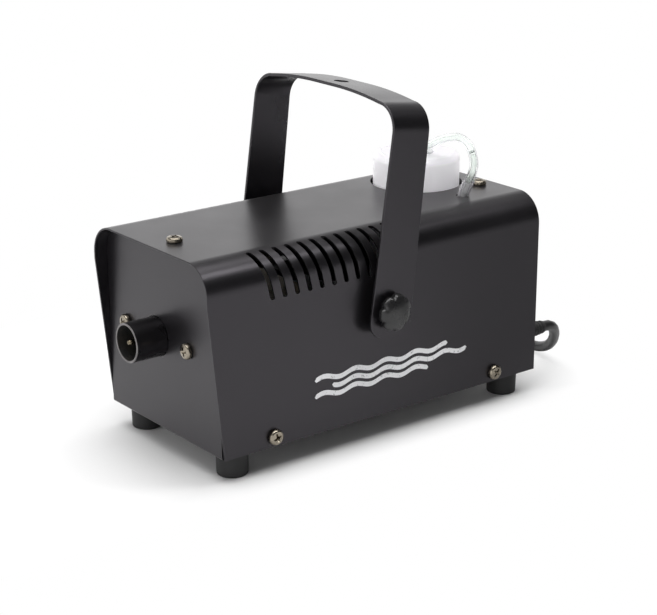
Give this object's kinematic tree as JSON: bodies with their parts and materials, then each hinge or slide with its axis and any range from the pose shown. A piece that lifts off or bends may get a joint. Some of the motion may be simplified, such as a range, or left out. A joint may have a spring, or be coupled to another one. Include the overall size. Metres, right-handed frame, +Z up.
{
  "type": "fog machine",
  "caption": "Small fog machine: black folded steel case with a visor, nozzle tube, tilting strip handle on thumb knobs, fluid bottle with a hose, rubber feet and a mains cord.",
  "frame": {"origin": "on the standing surface, at the middle of the machine without its mains cord", "axes": "+Z up, +Y towards the rear panel, -Y towards the nozzle, +X the side with the mains cord"},
  "size_m": [0.2274, 0.2936, 0.1916],
  "materials": {
    "black_coat": "satin black powder coat with a fine texture",
    "handle_coat": "satin black powder coat",
    "nozzle_coat": "black coated tube with a bare metal rim",
    "zinc_steel": "zinc plated steel",
    "nickel_screw": "nickel plated steel",
    "cast_aluminium": "cast, slightly rough",
    "brass": "turned brass",
    "glass_cloth": "woven glass cloth",
    "black_plastic": "moulded black plastic, slight sheen",
    "rocker_plastic": "red rocker",
    "white_plastic": "translucent white polyethylene",
    "tank_plastic": "translucent natural polyethylene",
    "clear_hose": "clear vinyl hose",
    "silicone": "translucent silicone",
    "rubber": "matt black rubber",
    "cord_jacket": "black cord jacket",
    "circuit_green": "green solder mask",
    "coil_winding": "taped copper winding"
  },
  "bodies": {
    "root": {"cartridge_heater": "zinc_steel", "chassis": "black_coat", "circuit_board": "circuit_green", "cord_coil": "cord_jacket", "cover": "black_coat", "fluid_hose": "clear_hose", "foot_front_left": "rubber", "foot_front_right": "rubber", "foot_rear_left": "rubber", "foot_rear_right": "rubber", "foot_screw_front_left": "nickel_screw", "foot_screw_front_right": "nickel_screw", "foot_screw_rear_left": "nickel_screw", "foot_screw_rear_right": "nickel_screw", "heater_block": "cast_aluminium", "heater_front_plate": "zinc_steel", "heater_inlet_fitting": "brass", "heater_jacket": "glass_cloth", "heater_rear_bracket": "zinc_steel", "hose_grommet": "silicone", "hose_sleeve": "clear_hose", "mains_cord": "cord_jacket", "mains_plug": "cord_jacket", "nozzle_screw_left": "nickel_screw", "nozzle_screw_right": "nickel_screw", "nozzle_tip": "brass", "nozzle_tube": "nozzle_coat", "pickup_filter": "brass", "pressure_hose": "silicone", "pump_coil": "coil_winding", "pump_inlet": "black_plastic", "pump_outlet": "brass", "pump_yoke": "zinc_steel", "remote_socket": "black_plastic", "rivet_nut_left": "nickel_screw", "rivet_nut_right": "nickel_screw", "side_screw_front_left": "nickel_screw", "side_screw_front_right": "nickel_screw", "side_screw_rear_left": "nickel_screw", "side_screw_rear_right": "nickel_screw", "spacer_bush_left": "black_plastic", "spacer_bush_right": "black_plastic", "strain_relief": "rubber", "switch_housing": "black_plastic", "tank": "tank_plastic", "terminal_block": "white_plastic", "thermostat": "black_plastic", "top_screw_front": "nickel_screw", "top_screw_rear": "nickel_screw"},
    "handle": {"handle": "handle_coat"},
    "right_washer": {"washer_right": "nickel_screw"},
    "right_knob": {"knob_right": "black_plastic", "knob_stud_right": "nickel_screw"},
    "left_washer": {"washer_left": "nickel_screw"},
    "left_knob": {"knob_left": "black_plastic", "knob_stud_left": "nickel_screw"},
    "cap_seal": {"cap_seal": "silicone"},
    "fluid_cap": {"fluid_cap": "white_plastic"},
    "power_rocker": {"power_rocker": "rocker_plastic"},
    "pump_plunger": {"pump_plunger": "zinc_steel"}
  },
  "joints": [
    {"name": "handle_tilt", "type": "hinge", "parent": "root", "child": "handle", "pos_m": [0, 0.002, 0.0769], "axis": [1, 0, 0], "range_deg": [-26, 66]},
    {"name": "right_knob_travel", "type": "slide", "parent": "root", "child": "right_washer", "axis": [1, 0, 0], "range_m": [0, 0.0015]},
    {"name": "right_knob_turn", "type": "hinge", "parent": "right_washer", "child": "right_knob", "pos_m": [0, 0.002, 0.0769], "axis": [1, 0, 0], "range_deg": [0, 540]},
    {"name": "left_knob_travel", "type": "slide", "parent": "root", "child": "left_washer", "axis": [-1, 0, 0], "range_m": [0, 0.0015]},
    {"name": "left_knob_turn", "type": "hinge", "parent": "left_washer", "child": "left_knob", "pos_m": [0, 0.002, 0.0769], "axis": [-1, 0, 0], "range_deg": [0, 540]},
    {"name": "cap_lift", "type": "slide", "parent": "root", "child": "cap_seal", "axis": [0, 0, 1], "range_m": [0, 0.0019]},
    {"name": "cap_turn", "type": "hinge", "parent": "cap_seal", "child": "fluid_cap", "pos_m": [-0.014, 0.0845, 0.138], "axis": [0, 0, 1], "range_deg": [0, 270]},
    {"name": "rocker_tip", "type": "hinge", "parent": "root", "child": "power_rocker", "pos_m": [0.038, 0.1172, 0.084], "axis": [1, 0, 0], "range_deg": [-18, 0]},
    {"name": "plunger_stroke", "type": "slide", "parent": "root", "child": "pump_plunger", "axis": [0, 1, 0], "range_m": [0, 0.003], "stiffness_N_per_m": 800}
  ],
  "couplings": [
    {"joint": "right_knob_travel", "follows": "right_knob_turn", "m_per_rad": 0.00015915},
    {"joint": "left_knob_travel", "follows": "left_knob_turn", "m_per_rad": 0.00015915},
    {"joint": "cap_lift", "follows": "cap_turn", "m_per_rad": 0.00039789}
  ]
}
